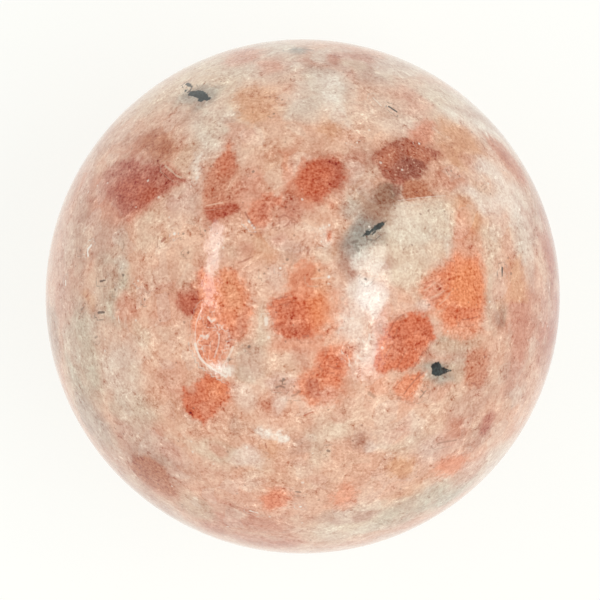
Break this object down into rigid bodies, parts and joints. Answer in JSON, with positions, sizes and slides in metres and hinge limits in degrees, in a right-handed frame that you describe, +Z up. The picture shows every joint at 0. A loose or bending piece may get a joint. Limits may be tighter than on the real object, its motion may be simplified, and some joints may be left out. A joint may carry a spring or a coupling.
{
  "type": "polished sunstone sphere",
  "caption": "Polished ball of mottled orange and cream feldspar stone, a collector's mineral sphere that stands on a small ground flat.",
  "frame": {"origin": "middle of the small ground flat that the ball stands on", "axes": "+Z up through the ball's middle; the picture looks straight down on it, with +X to the picture's right and +Y to its top"},
  "size_m": [0.06, 0.06, 0.0597],
  "materials": {
    "sunstone": "glossy hand polish over mottled cream, pink and orange feldspar with a few black specks"
  },
  "bodies": {
    "root": {"sunstone_sphere": "sunstone"}
  },
  "joints": []
}
